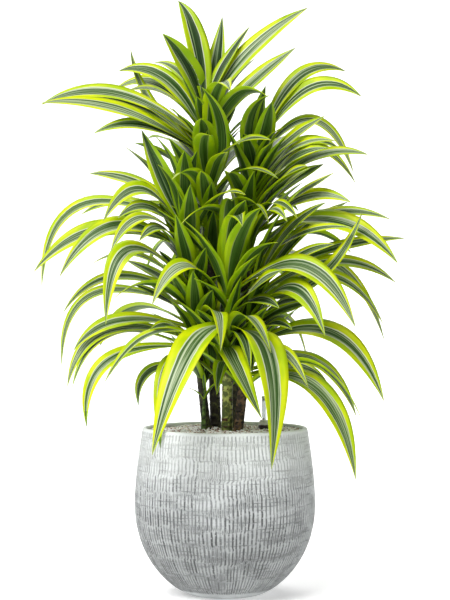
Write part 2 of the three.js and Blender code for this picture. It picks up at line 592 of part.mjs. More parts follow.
const caneSolids = new Map(CANES.map((cane) => [
  cane.name, toManifold(lean(turned(caneProfile(cane), CANE_SIDES), cane))]));
const gaugeEnvelope = toManifold(rod(GAUGE_COLLAR_RADIUS + 1, FILL_TOP, GAUGE_TUBE_TOP + 10)
  .translate(GAUGE_PLACE[0], GAUGE_PLACE[1], 0));
const obstacles = [
  ["planter", boxed(planter)], ["granulate", boxed(granulate)], ["gauge", boxed(gaugeEnvelope)],
  ...[...caneSolids].map(([name, solid]) => [name, boxed(solid)]),
];
const { grown, dropped } = growLeaves(obstacles);
for (const cane of CANES) {
  const leaves = grown.get(cane.name).map((leaf) => leaf.whole.solid);
  const stem = outerBody(Manifold.union([caneSolids.get(cane.name), ...leaves]).simplify(FUSE_TOLERANCE));
  plant.add(piece(cane.name, toGeometry(stem), 0x7fae2a, 0.5));
}
plant.add(buildGauge());
plant.userData.droppedLeaves = dropped;

export default plant;
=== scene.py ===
"""Potted dracaena: the finished look of a leafy, lime-edged plant in a ribbed planter."""
import logging
from dataclasses import dataclass, field
from enum import Enum
from math import atan2, cos, floor, hypot, pi, radians, sin, sqrt, tau

import bmesh
import bpy
from mathutils import Matrix, Vector, noise
from mathutils.bvhtree import BVHTree
from mathutils.kdtree import KDTree


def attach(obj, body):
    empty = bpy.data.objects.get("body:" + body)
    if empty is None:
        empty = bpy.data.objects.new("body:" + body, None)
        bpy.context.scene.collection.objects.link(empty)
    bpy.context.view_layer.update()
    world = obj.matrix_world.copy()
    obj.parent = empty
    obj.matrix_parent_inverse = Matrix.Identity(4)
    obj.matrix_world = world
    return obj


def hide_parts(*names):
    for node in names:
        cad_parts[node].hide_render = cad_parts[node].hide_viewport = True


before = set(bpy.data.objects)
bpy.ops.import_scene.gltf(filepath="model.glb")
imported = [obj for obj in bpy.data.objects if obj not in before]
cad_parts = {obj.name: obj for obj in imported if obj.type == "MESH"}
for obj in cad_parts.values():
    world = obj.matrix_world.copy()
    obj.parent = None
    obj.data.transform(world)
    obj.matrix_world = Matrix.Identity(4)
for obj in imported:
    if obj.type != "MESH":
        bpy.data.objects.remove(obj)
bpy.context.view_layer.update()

LOG = logging.getLogger("dracaena")
MM = 0.001
PLANT_BODY = "planter"
FLOAT_BODY = "float"

THIN_IOR = 1.12            # a thin clear wall bends light less than a solid block
LEAF_SPECULAR = 0.28
# Ramp stops for the painted-shade and the painted-light leaf middles.
SHADED_STOPS = (0.36, 0.50, 0.62)
LIT_STOPS = (0.38, 0.48, 0.60)
GOLDEN_TURN = 2.399963      # radians from one grain to the next

Colour = tuple[float, float, float]
Pair = tuple[float, float]
Profile = list[Pair]
BMesh = bmesh.types.BMesh
Material = bpy.types.Material
Piece = bpy.types.Object
Socket = bpy.types.NodeSocket


# ---- materials -------------------------------------------


class Board:
    """Lays out the nodes of one material round its Principled shader."""

    def __init__(self, name: str, roughness: float = 0.5) -> None:
        """Starts a material.

        Args:
            name: the material's name.
            roughness: the shader's own roughness where nothing is linked to it.
        """
        self.material = bpy.data.materials.new(name)
        self.material.use_nodes = True
        self.tree = self.material.node_tree
        self.shader = self.tree.nodes["Principled BSDF"]
        self.shader.inputs["Roughness"].default_value = roughness

    def add(self, kind: str, **settings: object) -> bpy.types.Node:
        """Adds a node.

        Args:
            kind: the node's type without its ShaderNode prefix.
            settings: attributes of the node, such as its operation.

        Returns:
            The new node.
        """
        node = self.tree.nodes.new("ShaderNode" + kind)
        for key, value in settings.items():
            setattr(node, key, value)
        return node

    def feed(self, socket: Socket, value: object) -> None:
        """Links an output to a socket, or sets the socket to a plain value."""
        if isinstance(value, Socket):
            self.tree.links.new(value, socket)
        elif isinstance(value, tuple) and len(value) == 3 and len(socket.default_value) == 4:
            socket.default_value = (*value, 1.0)
        else:
            socket.default_value = value

    def math(self, operation: str, *values: object) -> Socket:
        """Returns the output of one Math node fed with the values."""
        node = self.add("Math", operation=operation)
        for socket, value in zip(node.inputs, values):
            self.feed(socket, value)
        return node.outputs[0]

    def times(self, first: object, second: object) -> Socket:
        """Returns the product of the two values."""
        return self.math("MULTIPLY", first, second)

    def plus(self, first: object, second: object) -> Socket:
        """Returns the sum of the two values."""
        return self.math("ADD", first, second)

    def minus(self, first: object, second: object) -> Socket:
        """Returns the first value less the second."""
        return self.math("SUBTRACT", first, second)

    def step(self, value: object, low: object, high: object) -> Socket:
        """Returns a smooth rise from 0 at low to 1 at high."""
        node = self.add("MapRange", interpolation_type="SMOOTHSTEP")
        for index, item in enumerate((value, low, high)):
            self.feed(node.inputs[index], item)
        return node.outputs[0]

    def mix(self, factor: object, first: object, second: object) -> Socket:
        """Returns the colour between first and second."""
        node = self.add("Mix", data_type="RGBA")
        for index, item in ((0, factor), (6, first), (7, second)):
            self.feed(node.inputs[index], item)
        return node.outputs[2]

    def ramp(self, factor: object, stops: list[tuple[float, Colour]]) -> Socket:
        """Returns the colour of a ramp with the given (place, colour) stops."""
        node = self.add("ValToRGB")
        elements = node.color_ramp.elements
        while len(elements) < len(stops):
            elements.new(0.5)
        for element, (place, colour) in zip(elements, stops):
            element.position = place
            element.color = (*colour, 1.0)
        self.feed(node.inputs[0], factor)
        return node.outputs[0]

    def noise(self, vector: object, scale: float, detail: float = 3.0) -> Socket:
        """Returns a noise value of about 0.3 to 0.7 at the vector."""
        node = self.add("TexNoise")
        self.feed(node.inputs["Vector"], vector)
        node.inputs["Scale"].default_value = scale
        node.inputs["Detail"].default_value = detail
        return node.outputs["Fac"]

    def joined(self, *pairs: object) -> Socket:
        """Returns a vector made of three (value, factor) pairs."""
        node = self.add("CombineXYZ")
        for index in range(3):
            self.feed(node.inputs[index], self.times(pairs[2 * index], pairs[2 * index + 1]))
        return node.outputs[0]

    def stretched(self, vector: object, scale: tuple[float, float, float]) -> Socket:
        """Returns the vector scaled by its own factor on each axis."""
        node = self.add("Mapping")
        self.feed(node.inputs["Vector"], vector)
        node.inputs["Scale"].default_value = scale
        return node.outputs[0]

    def uneven(self, vector: object, scale: tuple[float, float, float], detail: float,
               low: float, high: float) -> Socket:
        """Returns patches from 0 to 1: noise on the scaled vector, stepped between low and high."""
        return self.step(self.noise(self.stretched(vector, scale), 1.0, detail), low, high)

    def place(self) -> Socket:
        """Returns the Object coordinates."""
        return self.add("TexCoord").outputs["Object"]

    def uv(self, layer: str) -> tuple[Socket, Socket, Socket]:
        """Returns the vector, the u and the v of a UV map."""
        node = self.add("UVMap", uv_map=layer)
        parts = self.add("SeparateXYZ")
        self.tree.links.new(node.outputs[0], parts.inputs[0])
        return node.outputs[0], parts.outputs[0], parts.outputs[1]

    def attribute(self, name: str) -> Socket:
        """Returns the value of a mesh attribute."""
        return self.add("Attribute", attribute_name=name).outputs["Fac"]

    def bump(self, height: object, distance: float, strength: float = 1.0) -> None:
        """Gives the shader a bump of the height over the distance in metres."""
        node = self.add("Bump")
        node.inputs["Distance"].default_value = distance
        node.inputs["Strength"].default_value = strength
        self.feed(node.inputs["Height"], height)
        self.feed(self.shader.inputs["Normal"], node.outputs[0])

    def colour(self, value: object) -> None:
        """Gives the shader its base colour."""
        self.feed(self.shader.inputs["Base Color"], value)


class LeafSide(Enum):
    """The two faces of a blade."""

    UPPER = "upper"
    LOWER = "lower"


@dataclass(frozen=True)
class LeafFinish:
    """A striped blade: dark middle, thin white line and lime margins, with painted shade on inner leaves and
    painted light and sheen on outer ones.
    """

    side: LeafSide
    # The first palette is a painted-shade copy of the middle's colours for inner leaves, the second a
    # painted-light copy for outer ones; its pale top stop is partly the leaf's own whitish streaks and
    # partly painted sheen.
    shaded: tuple[Colour, Colour, Colour]
    lit_palette: tuple[Colour, Colour, Colour]
    lime: Colour
    yellow: Colour
    # The margins' painted-shade colour, for inner leaves.
    green: Colour
    line: Colour
    roughness: float

    def build(self) -> Material:
        """Returns the blade's material, which follows its UV map along and across."""
        board = Board(f"leaf_{self.side.value}", self.roughness)
        board.shader.inputs["Specular IOR Level"].default_value = LEAF_SPECULAR
        _, across, along = board.uv("blade")
        tone = board.attribute("tone")
        margin = board.attribute("margin")
        # How much painted light a leaf takes: 1 on outer leaves, 0 on inner ones, which take painted shade.
        light_share = board.attribute("painted_light_share")
        away = board.math("ABSOLUTE", board.minus(board.times(across, 2.0), 1.0))
        streaks = board.noise(board.joined(across, 17.0, along, 0.9, tone, 19.0), 1.0, 4.0)
        slow = board.noise(board.joined(across, 2.0, along, 4.0, tone, 7.0), 1.0, 2.0)
        limit = board.plus(margin, board.times(board.minus(slow, 0.5), 0.25))
        fringe = board.step(away, board.minus(limit, 0.02), board.plus(limit, 0.03))
        shaded = board.ramp(streaks, list(zip(SHADED_STOPS, self.shaded)))
        lit_palette = board.ramp(streaks, list(zip(LIT_STOPS, self.lit_palette)))
        # Inner leaves take the painted-shade middle, outer ones the painted-light middle.
        middle = board.mix(light_share, shaded, lit_palette)
        edge = board.mix(board.step(slow, 0.38, 0.60), self.lime, self.yellow)
        # Inner leaves get painted shade on their margins too.
        shade = board.times(board.minus(1.0, light_share), 0.6)
        edge = board.mix(shade, edge, self.green)
        banded = board.mix(fringe, middle, edge)
        inner = board.step(away, board.minus(limit, 0.09), board.minus(limit, 0.03))
        outer = board.step(away, board.plus(limit, 0.02), board.minus(limit, 0.02))
        thin = board.times(board.times(inner, outer), 0.7)
        banded = board.mix(thin, banded, self.line)
        root = board.step(along, 0.2, 0.0)
        board.colour(board.mix(board.times(root, 0.75), banded, self.lime))
        veins = board.noise(board.joined(across, 110.0, along, 1.2, tone, 19.0), 1.0, 2.0)
        board.bump(veins, 0.0006, 0.45)
        return board.material


@dataclass(frozen=True)
class CaneFinish:
    """Bark in rings, one paler or darker band to each leaf scar."""

    name: str
    bark: Colour
    scar: Colour
    fresh: Colour

    def build(self) -> Material:
        """Returns the bark's material on Object coordinates and the scar attribute."""
        board = Board(self.name, 0.62)
        place = board.place()
        scar = board.attribute("scar")
        blotch = board.noise(place, 95.0, 5.0)
        fine = board.noise(board.stretched(place, (90.0, 90.0, 420.0)), 1.0, 3.0)
        skin = board.mix(board.step(blotch, 0.46, 0.60), self.bark, self.fresh)
        rough_scar = board.plus(scar, board.minus(fine, 0.5))
        skin = board.mix(board.step(rough_scar, 0.35, 0.8), skin, self.scar)
        board.colour(skin)
        board.bump(board.plus(blotch, board.times(scar, 0.6)), 0.004, 0.9)
        return board.material


@dataclass(frozen=True)
class PotFinish:
    """A pale mineral body with grey wash in its upright grooves and cross scratches, with painted light on
    its top and painted shade towards its bottom.
    """

    ridge: Colour = (0.49, 0.51, 0.51)
    chalk: Colour = (0.62, 0.645, 0.645)
    wash: Colour = (0.040, 0.042, 0.042)
    # The grey of the smears, also laid low on the pot as painted shade.
    smear_and_low_shade: Colour = (0.22, 0.23, 0.23)
    # The top's painted light.
    painted_top_light: Colour = (0.76, 0.79, 0.77)

    def build(self) -> Material:
        """Returns the material of the grooved outside, on the pot's own UV map."""
        board = Board("pot_wash", 0.86)
        vector = board.uv("pot")[0]
        place = board.place()
        band = board.attribute("band")
        axes = board.add("SeparateXYZ")
        board.feed(axes.inputs[0], place)
        # Painted shade towards the bottom.
        painted_low_shade = board.step(axes.outputs[2], 0.26, 0.04)
        # Painted light towards the top.
        top = board.step(axes.outputs[2], 0.18, 0.30)
        patch = board.uneven(vector, (0.10, 0.5, 1.0), 3.0, 0.48, 0.58)
        # Painted light: fewer marks near the top.
        fade = board.minus(1.0, board.times(top, 0.35))
        marks = board.times(board.times(self.marks(board, painted_low_shade, patch), band), fade)
        grit = board.noise(place, 900.0, 2.0)
        skin = board.mix(board.uneven(place, (11.0, 11.0, 30.0), 4.0, 0.38, 0.62), self.ridge, self.chalk)
        skin = board.mix(board.times(board.times(patch, band), 0.22), skin, self.smear_and_low_shade)
        # Painted shade: the smear colour darkens the bottom.
        skin = board.mix(board.times(board.times(painted_low_shade, band), 0.50), skin, self.smear_and_low_shade)
        # Painted light: the top made paler.
        skin = board.mix(board.times(top, 0.65), skin, self.painted_top_light)
        skin = board.mix(board.times(marks, 0.88), skin, self.wash)
        skin = board.mix(board.times(board.step(grit, 0.55, 0.75), 0.2), skin, self.chalk)
        board.colour(skin)
        board.bump(board.minus(board.times(grit, 0.25), board.times(marks, 0.9)), 0.0014, 0.9)
        return board.material

    def marks(self, board: Board, painted_low_shade: object, patch: object) -> Socket:
        """Lays out the dark wash in the grooves, between them and in the scratches.

        Args:
            board: the pot's material.
            painted_low_shade: 1 low on the pot, where painted shade darkens it and broadens the grooves'
                wash, and 0 above.
            patch: 1 in the patches with many scratches.

        Returns:
            How dark the wash is, from 0 to 1.
        """
        vector, turn, rise = board.uv("pot")
        fine = board.noise(board.stretched(vector, (0.9, 0.5, 1.0)), 1.0, 3.0)
        bent = board.plus(turn, board.times(fine, 0.3))
        # Painted shade: the wash lies broader low on the pot.
        groove = self.lines(board, bent, board.minus(0.50, board.times(painted_low_shade, 0.33)), 0.90)
        beads = board.uneven(vector, (1.3, 1.6, 1.0), 2.0, 0.24, 0.46)
        groove = board.times(board.times(groove, beads), board.attribute("stroke"))
        level = board.noise(board.stretched(vector, (0.16, 0.4, 1.0)), 1.0, 2.0)
        scratch = self.lines(board, board.plus(rise, level), 0.74, 0.98)
        scratch = board.times(scratch, board.uneven(vector, (0.30, 1.6, 1.0), 2.0, 0.40, 0.54))
        scratch = board.times(scratch, board.plus(0.15, board.times(patch, 0.85)))
        between = self.lines(board, board.plus(bent, 0.5), 0.72, 0.98)
        doubled = board.uneven(vector, (0.14, 0.36, 1.0), 3.0, 0.50, 0.60)
        between = board.times(board.times(between, beads), doubled)
        marks = board.math("MAXIMUM", groove, board.times(scratch, 0.6))
        return board.math("MAXIMUM", marks, board.times(between, 0.6))

    def lines(self, board: Board, value: object, low: object, high: float) -> Socket:
        """Returns narrow bands, one to each whole number of the value."""
        wave = board.math("COSINE", board.times(value, tau))
        return board.step(board.plus(board.times(wave, 0.5), 0.5), low, high)


@dataclass(frozen=True)
class GrainFinish:
    """Grains in pale grey, beige and brown, one tone to each."""

    name: str = "grains"

    def build(self) -> Material:
        """Returns the material, which reads each grain's tone."""
        board = Board(self.name, 0.9)
        tone = board.attribute("tone")
        base = board.ramp(tone, [(0.0, (0.10, 0.055, 0.042)), (0.2, (0.36, 0.22, 0.18)),
                                 (0.4, (0.74, 0.64, 0.60)), (0.65, (0.90, 0.88, 0.89)),
                                 (1.0, (0.95, 0.96, 0.99))])
        speck = board.noise(board.place(), 700.0, 2.0)
        board.colour(board.mix(board.times(speck, 0.12), base, (0.45, 0.37, 0.34)))
        board.bump(speck, 0.0005, 0.5)
        return board.material


@dataclass(frozen=True)
class PlainFinish:
    """A moulded or mineral piece of nearly one colour with a fine grain."""

    name: str
    low: Colour
    high: Colour
    roughness: float
    grain: float = 400.0
    clear: float = 0.0
    glow: float = 0.0

    def build(self) -> Material:
        """Returns the material on Object coordinates."""
        board = Board(self.name, self.roughness)
        board.shader.inputs["Transmission Weight"].default_value = self.clear
        board.shader.inputs["Emission Strength"].default_value = self.glow
        if self.clear:
            board.shader.inputs["IOR"].default_value = THIN_IOR
        speck = board.noise(board.place(), self.grain, 3.0)
        board.colour(board.mix(board.step(speck, 0.35, 0.65), self.low, self.high))
        board.bump(speck, 0.0002, 0.3)
        return board.material


FILLING = PlainFinish("filling", (0.16, 0.13, 0.10), (0.45, 0.41, 0.36), 0.95, 260.0)
GAUGE_RIM = PlainFinish("gauge_rim", (0.034, 0.020, 0.030), (0.060, 0.038, 0.055), 0.4)
GAUGE_DOME = PlainFinish("gauge_dome", (0.80, 0.77, 0.80), (0.88, 0.85, 0.87), 0.25)
GAUGE_CLEAR = PlainFinish("gauge_clear", (0.86, 0.90, 0.90), (0.90, 0.93, 0.93), 0.08, clear=0.7)
GAUGE_CAP = PlainFinish("gauge_cap", (0.60, 0.63, 0.62), (0.68, 0.70, 0.69), 0.35)
GAUGE_RED = PlainFinish("gauge_red", (0.62, 0.045, 0.012), (0.72, 0.07, 0.02), 0.45)
PAPER = PlainFinish("paper", (0.88, 0.88, 0.88), (0.90, 0.90, 0.90), 0.95, 3.0, glow=0.3)
# Each leaf finish: painted-shade middle, painted-light middle with some painted sheen, lime, yellow, the
# margins' painted-shade green, the white line and roughness.
UPPER_LEAF = LeafFinish(
    LeafSide.UPPER, ((0.006, 0.022, 0.003), (0.022, 0.060, 0.010), (0.14, 0.21, 0.09)),
    ((0.024, 0.074, 0.009), (0.080, 0.155, 0.034), (0.47, 0.55, 0.34)),
    (0.40, 0.56, 0.000), (0.63, 0.71, 0.000), (0.23, 0.38, 0.000), (0.84, 0.88, 0.66), 0.42)
LOWER_LEAF = LeafFinish(
    LeafSide.LOWER, ((0.018, 0.055, 0.004), (0.040, 0.105, 0.008), (0.08, 0.15, 0.03)),
    ((0.030, 0.085, 0.006), (0.060, 0.150, 0.010), (0.12, 0.22, 0.04)),
    (0.32, 0.52, 0.000), (0.50, 0.67, 0.000), (0.18, 0.35, 0.000), (0.40, 0.52, 0.14), 0.5)


# ---- shared mesh work ------------------------------------


def spread(i: int, j: int) -> float:
    """Returns a repeatable number from 0 to 1 for the pair (i, j)."""
    wave = sin(i * 12.9898 + j * 78.233) * 43758.5453
    return wave - floor(wave)


def smooth(value: float, low: float, high: float) -> float:
    """Returns a smooth rise from 0 at low to 1 at high."""
    k = min(1.0, max(0.0, (value - low) / (high - low)))
    return k * k * (3 - 2 * k)


def finish_piece(mesh: BMesh, name: str, materials: list[Material],
                 body: str, nodes: tuple[str, ...] = ()) -> Piece:
    """Makes a finished object from a bmesh, seats it on its body and frees the bmesh.

    Args:
        mesh: the shape, in metres.
        name: the piece's name.
        materials: its materials in slot order.
        body: the body that it rides on.
        nodes: the CAD nodes that it stands for.

    Returns:
        The new object.
    """
    data = bpy.data.meshes.new(name)
    mesh.to_mesh(data)
    mesh.free()
    for material in materials:
        data.materials.append(material)
    piece = bpy.data.objects.new(name, data)
    bpy.context.scene.collection.objects.link(piece)
    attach(piece, body)
    if nodes:
        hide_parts(*nodes)
    LOG.info("%s: %d faces", name, len(data.polygons))
    return piece


def round_noise(turn: float, reach: float, height: float) -> float:
    """Returns noise that closes on itself round an axis, quicker where the reach is larger."""
    return noise.noise(Vector((reach * cos(turn), reach * sin(turn), height)))


def spun(profile: Profile, steps: int,
         centre: Pair = (0.0, 0.0)) -> BMesh:
    """Turns a profile of (radius, height) pairs round an upright axis.

    Args:
        profile: the outline in metres; it starts and ends on the axis or closes on itself.
        steps: columns round the axis.
        centre: the axis's x and y.

    Returns:
        A closed bmesh with its faces outward.
    """
    mesh = bmesh.new()
    points = [mesh.verts.new((radius, 0.0, height)) for radius, height in profile]
    edges = [mesh.edges.new(pair) for pair in zip(points, points[1:])]
    if profile[0][0] > 0.0:
        edges.append(mesh.edges.new((points[-1], points[0])))
    bmesh.ops.spin(mesh, geom=points + edges, cent=(0, 0, 0), axis=(0, 0, 1), angle=tau, steps=steps,
                   use_merge=True)
    bmesh.ops.remove_doubles(mesh, verts=mesh.verts[:], dist=1e-6)
    bmesh.ops.recalc_face_normals(mesh, faces=mesh.faces[:])
    for face in mesh.faces:
        face.smooth = True
    bmesh.ops.translate(mesh, vec=(*centre, 0.0), verts=mesh.verts[:])
    return mesh


# ---- leaves and canes ------------------------------------

LeafRow = tuple[float, ...]
# Turns in degrees tried in this order for a leaf that only this file has.
INNER_TURNS = (0, 12, -12, 24, -24, 36, -36, 52, -52)
# Turns in degrees and lifts in millimetres, in the order in which the solids try them.
BENDS = [(0, 0), (3, 0), (-3, 0), (0, 8), (0, -8), (6, 0), (-6, 0), (4, 10), (-4, 10),
         (4, -10), (-4, -10), (9, 0), (-9, 0), (0, 18), (0, -18), (8, 16), (-8, 16), (8, -16),
         (-8, -16), (13, 0), (-13, 0), (13, 20), (-13, 20)]


@dataclass(frozen=True)
class LeafShape:
    """How every blade is cut and folded, in millimetres and shares of its length.

    Each solid blade has a row of its own vertices at check of its length, or at small_check if it
    is narrow or short. A fine blade belongs to a solid one whose vertices are nearer than near.
    """

    lean: float = 0.6
    rise: float = 0.25
    lean_range: Pair = (0.15, 1.1)
    lift: float = 0.42
    fold: float = 0.25
    thick: float = 2.0
    broad: float = 0.45
    root: float = 0.26
    narrow: float = 27.0
    short: float = 100.0
    blade: float = 0.8
    columns: int = 8
    rows: int = 22
    check: float = 0.76
    small_check: float = 0.65
    near: float = 0.2

    def half_width(self, width: float, v: float) -> float:
        """Returns half the blade's width at v of its length."""
        if v < self.broad:
            return width / 2 * (self.root + (1 - self.root) * sin(pi / 2 * v / self.broad) ** 1.3)
        return width / 2 * (1 - ((v - self.broad) / (1 - self.broad)) ** 1.9)


@dataclass
class Blade:
    """One leaf on its cane, placed as its solid is."""

    shape: LeafShape
    row: LeafRow
    root: Vector
    bend: Pair
    droop: float

    def __post_init__(self) -> None:
        """Works out the midrib's three control points."""
        height, direction, reach, tip_height, arch, _, _, sway, bow = (*self.row, 0.0, 0.0)[:9]
        angle = radians(direction + self.bend[0])
        out = Vector((cos(angle), sin(angle), 0.0))
        self.across = Vector((-sin(angle), cos(angle), 0.0))
        rise = tip_height - height
        fall = -rise / reach
        lean = self.shape.lean + bow + (self.droop if fall > 0 else self.shape.rise) * fall
        lean = min(self.shape.lean_range[1], max(self.shape.lean_range[0], lean))
        self.control = self.root + out * reach * lean + self.across * sway
        self.control.z += rise * self.shape.lift + arch + self.bend[1]
        self.tip = self.root + out * reach
        self.tip.z += rise

    def midrib(self, v: float) -> Vector:
        """Returns the midrib's point at v of its length."""
        return self.root * (1 - v) ** 2 + self.control * 2 * v * (1 - v) + self.tip * v * v

    def axes(self, v: float) -> tuple[Vector, Vector]:
        """Returns the directions across the blade and out of its upper face at v."""
        along = ((self.control - self.root) * (1 - v) + (self.tip - self.control) * v).normalized()
        up = along.cross(self.across).normalized()
        side = up.cross(along)
        roll = radians(self.row[6]) * (0.35 + 0.65 * v)
        return side * cos(roll) - up * sin(roll), up * cos(roll) + side * sin(roll)

    def ridge(self, v: float) -> Vector:
        """Returns the solid's own vertex above the midrib at v."""
        return self.midrib(v) + self.axes(v)[1] * (self.shape.thick / 2 * (1 - 0.4 * v))

    def surface(self, u: float, v: float, seed: int) -> Vector:
        """Returns the fine blade's point.

        Args:
            u: from -1 at the left edge to 1 at the right edge.
            v: from 0 at the root to 1 at the tip.
            seed: the leaf's number, which varies its waves.

        Returns:
            The point in millimetres.
        """
        across, face = self.axes(v)
        half = max(self.shape.half_width(self.row[5], v), 0.3)
        gutter = self.shape.fold * abs(u) ** 1.6 + 0.55 * abs(u) ** 2 * smooth(v, 0.22, 0.0)
        wave = 0.035 * u * sin(9.0 * v + seed * 2.1) + 0.03 * abs(u) * sin(16.0 * v + seed * 1.3)
        return self.midrib(v) + across * (half * u) + face * (half * (gutter + wave))

    def patch(self) -> tuple[BVHTree, Vector, float]:
        """Returns a coarse tree of the blade past its sheath, with its middle and reach."""
        across, along = 4, 12
        points = [self.surface(2 * i / across - 1, 0.2 + 0.8 * j / along, 0)
                  for j in range(along + 1) for i in range(across + 1)]
        faces = []
        for j in range(along):
            for i in range(across):
                corner = j * (across + 1) + i
                faces.append((corner, corner + 1, corner + across + 2, corner + across + 1))
        middle = points[len(points) // 2]
        return BVHTree.FromPolygons(points, faces), middle, max((point - middle).length for point in points)


class Thicket:
    """Remembers every placed blade, so that an inner leaf finds a clear place."""

    def __init__(self) -> None:
        """Starts empty."""
        self.patches: list[tuple[BVHTree, Vector, float]] = []

    def add(self, blade: Blade) -> None:
        """Remembers one blade."""
        self.patches.append(blade.patch())

    def clear(self, blade: Blade) -> bool:
        """Tells whether the blade crosses none of those remembered."""
        patch, middle, reach = blade.patch()
        return not any((middle - centre).length < reach + extent and patch.overlap(other)
                       for other, centre, extent in self.patches)


@dataclass(frozen=True)
class Ring:
    """A rule for leaves a steady turn apart, from the crown's height down over its depth."""

    count: int
    start: float
    crown: float
    depth: float
    turn: float = 137.5
    reach: float = 95.0

    def steps(self) -> list[tuple[int, float, float, float]]:
        """Returns each leaf's number, share of the way down, root height and direction."""
        found = []
        for k in range(self.count):
            down = k / max(1, self.count - 1)
            found.append((k, down, self.crown - self.depth * down, self.start + self.turn * k))
        return found


@dataclass
class Cane:
    """A cane with its rings and its crown of leaves, in millimetres.

    wreath and heart are the rules for leaves that the solid has too, and under those for the small
    inner leaves. leaves lists root height, direction in degrees from +X, reach, tip height, arch,
    width, roll in degrees and, for some, sideways sway and how much farther out the arch lies.
    """

    name: str
    foot: Pair
    top: tuple[float, float, float]
    radius: float
    droop: float
    finish: CaneFinish
    wreath: Ring
    heart: Ring
    under: tuple[Ring, ...]
    leaves: list[LeafRow]
    shape: LeafShape = field(default_factory=LeafShape)
    soil: float = 312.0
    socket: float = 192.0
    ring: float = 12.0
    crown: float = 70.0
    tip: float = 0.4
    sides: int = 28
    placed: list[Blade] = field(default_factory=list)
    inner: list[Blade] = field(default_factory=list)

    def share(self, z: float) -> float:
        """Returns how far up the bare cane a height is, from 0 at the soil to 1 at the top."""
        return max(0.0, (z - self.soil) / (self.top[2] - self.soil))

    def place(self, z: float) -> Pair:
        """Returns the axis's x and y at a height."""
        k = self.share(z)
        x, y = (low + (high - low) * k for low, high in zip(self.foot, self.top))
        return x, y

    def ruled_rows(self) -> list[LeafRow]:
        """Returns the leaves placed by rule: the crown's arching outside and its steep heart."""
        rows = []
        for k, down, root, turn in self.wreath.steps():
            rows.append((root, turn, 115 + 135 * down + 18 * sin(2.4 * k),
                         root + 170 - 220 * down + 20 * sin(1.7 * k), 30 + 110 * down,
                         38 + 6 * sin(k), 45 * sin(3.1 * k), 20 * sin(4.3 * k)))
        for k, down, root, turn in self.heart.steps():
            rows.append((root, turn, 55 + 50 * down + 15 * sin(1.9 * k),
                         root + 150 - 30 * down + 25 * sin(2.7 * k), 12 + 20 * down,
                         40 + 5 * sin(k), 30 * sin(2.2 * k), 12 * sin(3.7 * k)))
        return rows

    def blades(self, corners: KDTree) -> list[Blade]:
        """Finds each leaf as it stands in the solid.

        Args:
            corners: the solid's vertices in millimetres.

        Returns:
            The blades, without those that the solid leaves out.
        """
        shape = self.shape
        found = []
        for row in [*self.leaves, *self.ruled_rows()]:
            small = row[5] < shape.narrow or row[2] < shape.short
            v = shape.small_check if small else shape.check
            root = Vector((*self.place(row[0]), row[0]))
            for bend in BENDS:
                blade = Blade(shape, row, root, bend, self.droop)
                if all(corners.find(point)[2] < shape.near for point in (blade.ridge(v), blade.tip)):
                    found.append(blade)
                    break
        return found

    def settle(self, thicket: Thicket) -> None:
        """Places the leaves that the solid has and adds them to the thicket."""
        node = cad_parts[self.name]
        corners = KDTree(len(node.data.vertices))
        for index, vertex in enumerate(node.data.vertices):
            corners.insert(vertex.co / MM, index)
        corners.balance()
        self.placed = self.blades(corners)
        for blade in self.placed:
            thicket.add(blade)

    def thicken(self, thicket: Thicket) -> None:
        """Adds small leaves under the crown, each turned until it crosses no other blade."""
        for reach, k, _, root, turn in [(ring.reach, *step) for ring in self.under for step in ring.steps()]:
            for shift in INNER_TURNS:
                row = (root, turn + shift, reach * (1 + 0.3 * sin(1.3 * k)),
                       root + 125 + 30 * sin(2.1 * k), 22 + 12 * sin(0.9 * k),
                       38 + 5 * sin(k), 25 * sin(2.6 * k), 0)
                blade = Blade(self.shape, row, Vector((*self.place(root), root)), (0, 0), self.droop)
                if thicket.clear(blade):
                    thicket.add(blade)
                    self.inner.append(blade)
                    break

    def stem(self, layers: BMesh) -> None:
        """Adds the ringed cane to a bmesh that holds the leaves, with its scar attribute."""
        rows = int((self.top[2] - self.socket) / (self.ring / 4))
        profile = [(0.0, self.socket)]
        for k in range(rows + 1):
            z = self.socket + (self.top[2] - self.socket) * k / rows
            profile.append((self.radius_at(z), z))
        profile.append((0.0, self.top[2] + 3.5))
        stem = spun([(r * MM, z * MM) for r, z in profile], self.sides)
        scar = stem.verts.layers.float.new("scar")
        for vert in stem.verts:
            z = vert.co.z / MM
            x, y = self.place(z)
            turn = atan2(vert.co.y, vert.co.x)
            worn = round_noise(turn, 1.6, z * 0.05 + self.radius)
            vert[scar] = self.scar_at(z + 2.0 * sin(turn + z * 0.05)) * smooth(worn, -0.25, 0.20)
            vert.co.x += x * MM
            vert.co.y += y * MM
        for face in stem.faces:
            face.material_index = 2
        data = bpy.data.meshes.new("stem")
        stem.to_mesh(data)
        stem.free()
        layers.from_mesh(data)
        bpy.data.meshes.remove(data)

    def scar_at(self, z: float) -> float:
        """Returns how much of a leaf scar there is at a height, from 0 to 1."""
        phase = (z + 3.5 * sin(z * 0.09 + self.radius) + 2.0 * sin(z * 0.23)) / self.ring
        return smooth(0.5 + 0.5 * cos(tau * phase), 0.55, 0.98)

    def radius_at(self, z: float) -> float:
        """Returns the cane's radius at a height, with its rings."""
        radius = self.radius * (1 - 0.25 * self.share(z))
        radius *= 1 - (1 - self.tip) * smooth(z, self.top[2] - self.crown, self.top[2])
        return radius + 0.45 * self.scar_at(z) - 0.2

    def build(self, number: int, finishes: list[Material]) -> Piece:
        """Builds the cane and its leaves as one piece.

        Args:
            number: the cane's place in the plant, which varies its leaves' tones.
            finishes: the upper and the lower leaf material.

        Returns:
            The finished piece.
        """
        mesh = bmesh.new()
        mesh.loops.layers.uv.new("blade")
        for layer in ("tone", "margin", "painted_light_share", "scar"):
            mesh.verts.layers.float.new(layer)
        for index, blade in enumerate([*self.placed, *self.inner]):
            self.grow(mesh, blade, 100 * number + index)
        self.stem(mesh)
        LOG.info("%s: %d leaves and %d inner ones", self.name, len(self.placed), len(self.inner))
        return finish_piece(mesh, f"{self.name}_leafy", [*finishes, self.finish.build()], PLANT_BODY,
                            (self.name,))

